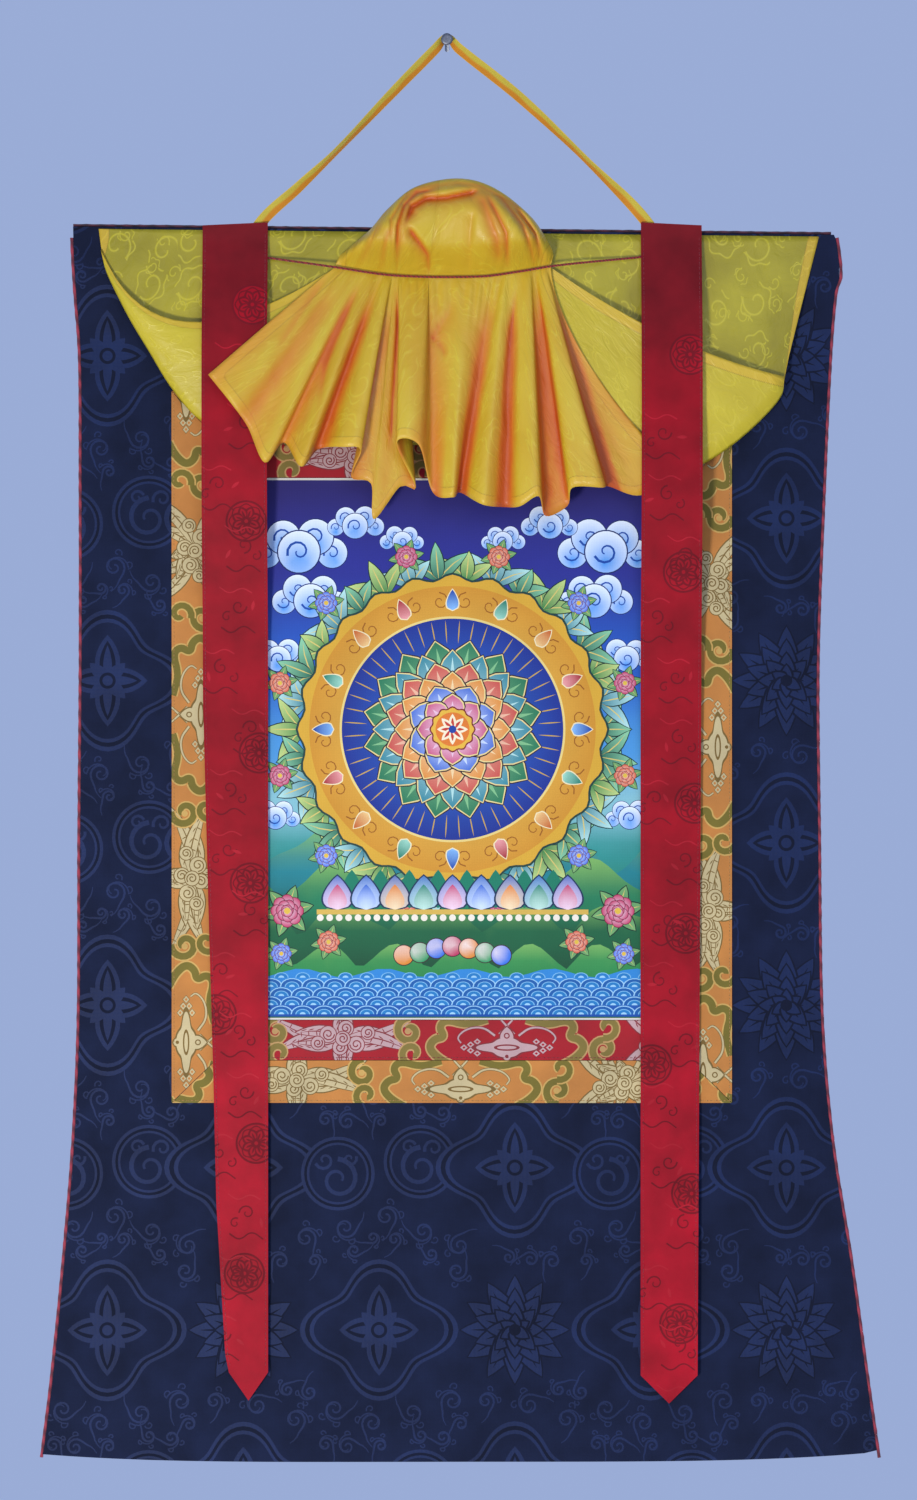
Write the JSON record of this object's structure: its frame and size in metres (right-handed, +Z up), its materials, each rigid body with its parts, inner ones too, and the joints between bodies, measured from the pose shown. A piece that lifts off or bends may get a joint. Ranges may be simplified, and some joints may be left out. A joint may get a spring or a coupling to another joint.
{
  "type": "thangka scroll painting with its hanging nail",
  "caption": "Thangka scroll: a painted panel in brocade borders on dark cloth, with ribbons and a gathered silk cover, hanging by its tape from a nail.",
  "frame": {"origin": "centre of the nail's flat rear end, in the wall plane", "axes": "+Z up, +X to the right as seen from the front, +Y into the wall; the cloth hangs in front of the plane Y = 0"},
  "size_m": [0.5685, 0.0593, 0.9673],
  "materials": {
    "navy_brocade": "dark brocade with a raised tone-on-tone pattern",
    "red_piping": "matte cord of folded cloth",
    "maroon_piping": "matte cord of folded cloth",
    "ochre_brocade": "satin brocade with woven scrolls and flowers",
    "red_brocade": "satin brocade with woven scrolls and flowers",
    "painted_canvas": "matte paint on canvas",
    "ribbon_satin": "satin with a tone-on-tone pattern",
    "yellow_silk": "shiny silk satin with a woven pattern",
    "red_string": "matte twisted string",
    "yellow_tape": "woven two-tone tape",
    "nail_steel": "dull grey steel"
  },
  "bodies": {
    "root": {"ground_cloth": "navy_brocade", "piping_left": "red_piping", "piping_right": "red_piping", "piping_top": "maroon_piping", "yellow_border_top": "ochre_brocade", "yellow_border_bottom": "ochre_brocade", "yellow_border_left": "ochre_brocade", "yellow_border_right": "ochre_brocade", "red_border_top": "red_brocade", "red_border_bottom": "red_brocade", "red_border_left": "red_brocade", "red_border_right": "red_brocade", "painting_panel": "painted_canvas", "ribbon_left": "ribbon_satin", "ribbon_right": "ribbon_satin", "veil": "yellow_silk", "gather_string": "red_string", "hanging_tape": "yellow_tape", "nail": "nail_steel"}
  },
  "joints": []
}
